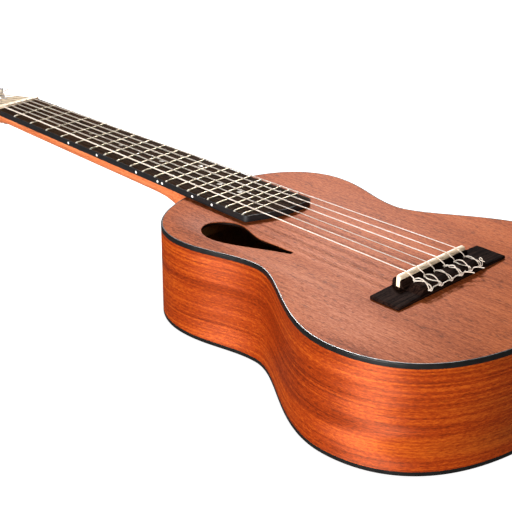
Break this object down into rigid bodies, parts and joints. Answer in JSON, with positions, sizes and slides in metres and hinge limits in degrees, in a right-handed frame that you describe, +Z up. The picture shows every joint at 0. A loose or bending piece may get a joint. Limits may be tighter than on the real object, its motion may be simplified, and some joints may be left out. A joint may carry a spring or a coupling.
{
  "type": "guitalele",
  "caption": "Small-bodied nylon-string guitar with a drop-shaped soundhole, arched back, fretted neck, tie bridge and geared tuners that turn.",
  "frame": {"origin": "centre of the footprint, on the surface that the instrument lies on, back down", "axes": "+X from the head to the tail along the strings, +Y to the treble side, +Z up out of the soundboard (the soundboard leans back 2.7 degrees, because the body gets deeper towards the tail)"},
  "size_m": [0.6843, 0.2206, 0.0847],
  "materials": {
    "black_binding": "black, semi-gloss",
    "bone_white": "cream, polished",
    "dark_board": "dark rosewood, oiled",
    "fret_metal": "polished nickel silver",
    "inner_wood": "bare light wood",
    "mahogany_neck": "mahogany, satin",
    "mahogany_side": "ribboned mahogany, gloss",
    "mahogany_top": "open-pored mahogany, satin",
    "pale_veneer": "pale maple, gloss",
    "string_white": "clear white nylon",
    "string_wound": "metal-wound nylon, pale",
    "tuner_button": "cream pearl",
    "tuner_chrome": "polished"
  },
  "bodies": {
    "instrument": {"soundboard": "mahogany_top", "binding_top": "black_binding", "lining_top": "inner_wood", "side_bass": "mahogany_side", "side_treble": "mahogany_side", "binding_back": "black_binding", "lining_back": "inner_wood", "back": "mahogany_side", "neck_block": "inner_wood", "tail_block": "inner_wood", "brace_upper": "inner_wood", "brace_lower": "inner_wood", "bridge_plate": "inner_wood", "back_bracing": "inner_wood", "neck": "mahogany_neck", "head_veneer": "pale_veneer", "fingerboard": "dark_board", "fret_01": "fret_metal", "fret_02": "fret_metal", "fret_03": "fret_metal", "fret_04": "fret_metal", "fret_05": "fret_metal", "fret_06": "fret_metal", "fret_07": "fret_metal", "fret_08": "fret_metal", "fret_09": "fret_metal", "fret_10": "fret_metal", "fret_11": "fret_metal", "fret_12": "fret_metal", "fret_13": "fret_metal", "fret_14": "fret_metal", "fret_15": "fret_metal", "fret_16": "fret_metal", "fret_17": "fret_metal", "fret_18": "fret_metal", "fret_19": "fret_metal", "fret_20": "fret_metal", "nut": "bone_white", "bridge": "dark_board", "saddle": "bone_white", "string_1": "string_white", "string_2": "string_white", "string_3": "string_white", "string_4": "string_wound", "string_5": "string_wound", "string_6": "string_wound", "tuner_plate_bass": "tuner_chrome", "tuner_plate_treble": "tuner_chrome"},
    "knob_1": {"tuner_knob_1": "tuner_button"},
    "post_1": {"tuner_post_1": "tuner_chrome"},
    "knob_2": {"tuner_knob_2": "tuner_button"},
    "post_2": {"tuner_post_2": "tuner_chrome"},
    "knob_3": {"tuner_knob_3": "tuner_button"},
    "post_3": {"tuner_post_3": "tuner_chrome"},
    "knob_4": {"tuner_knob_4": "tuner_button"},
    "post_4": {"tuner_post_4": "tuner_chrome"},
    "knob_5": {"tuner_knob_5": "tuner_button"},
    "post_5": {"tuner_post_5": "tuner_chrome"},
    "knob_6": {"tuner_knob_6": "tuner_button"},
    "post_6": {"tuner_post_6": "tuner_chrome"}
  },
  "joints": [
    {"name": "knob_1_turn", "type": "hinge", "parent": "instrument", "child": "knob_1", "pos_m": [-0.23012, 0.018, 0.02729], "axis": [0, 1, 0], "continuous": true},
    {"name": "post_1_turn", "type": "hinge", "parent": "instrument", "child": "post_1", "pos_m": [-0.24142, 0.018, 0.04138], "axis": [-0.2744, 0, 0.9616], "continuous": true},
    {"name": "knob_2_turn", "type": "hinge", "parent": "instrument", "child": "knob_2", "pos_m": [-0.26426, 0.018, 0.01755], "axis": [0, 1, 0], "continuous": true},
    {"name": "post_2_turn", "type": "hinge", "parent": "instrument", "child": "post_2", "pos_m": [-0.27556, 0.018, 0.03164], "axis": [-0.2744, 0, 0.9616], "continuous": true},
    {"name": "knob_3_turn", "type": "hinge", "parent": "instrument", "child": "knob_3", "pos_m": [-0.2984, 0.018, 0.00781], "axis": [0, 1, 0], "continuous": true},
    {"name": "post_3_turn", "type": "hinge", "parent": "instrument", "child": "post_3", "pos_m": [-0.3097, 0.018, 0.0219], "axis": [-0.2744, 0, 0.9616], "continuous": true},
    {"name": "knob_4_turn", "type": "hinge", "parent": "instrument", "child": "knob_4", "pos_m": [-0.2984, -0.018, 0.00781], "axis": [0, 1, 0], "continuous": true},
    {"name": "post_4_turn", "type": "hinge", "parent": "instrument", "child": "post_4", "pos_m": [-0.3097, -0.018, 0.0219], "axis": [-0.2744, 0, 0.9616], "continuous": true},
    {"name": "knob_5_turn", "type": "hinge", "parent": "instrument", "child": "knob_5", "pos_m": [-0.26426, -0.018, 0.01755], "axis": [0, 1, 0], "continuous": true},
    {"name": "post_5_turn", "type": "hinge", "parent": "instrument", "child": "post_5", "pos_m": [-0.27556, -0.018, 0.03164], "axis": [-0.2744, 0, 0.9616], "continuous": true},
    {"name": "knob_6_turn", "type": "hinge", "parent": "instrument", "child": "knob_6", "pos_m": [-0.23012, -0.018, 0.02729], "axis": [0, 1, 0], "continuous": true},
    {"name": "post_6_turn", "type": "hinge", "parent": "instrument", "child": "post_6", "pos_m": [-0.24142, -0.018, 0.04138], "axis": [-0.2744, 0, 0.9616], "continuous": true}
  ],
  "couplings": [
    {"joint": "post_1_turn", "follows": "knob_1_turn", "ratio": -0.071429},
    {"joint": "post_2_turn", "follows": "knob_2_turn", "ratio": -0.071429},
    {"joint": "post_3_turn", "follows": "knob_3_turn", "ratio": -0.071429},
    {"joint": "post_4_turn", "follows": "knob_4_turn", "ratio": -0.071429},
    {"joint": "post_5_turn", "follows": "knob_5_turn", "ratio": -0.071429},
    {"joint": "post_6_turn", "follows": "knob_6_turn", "ratio": -0.071429}
  ]
}
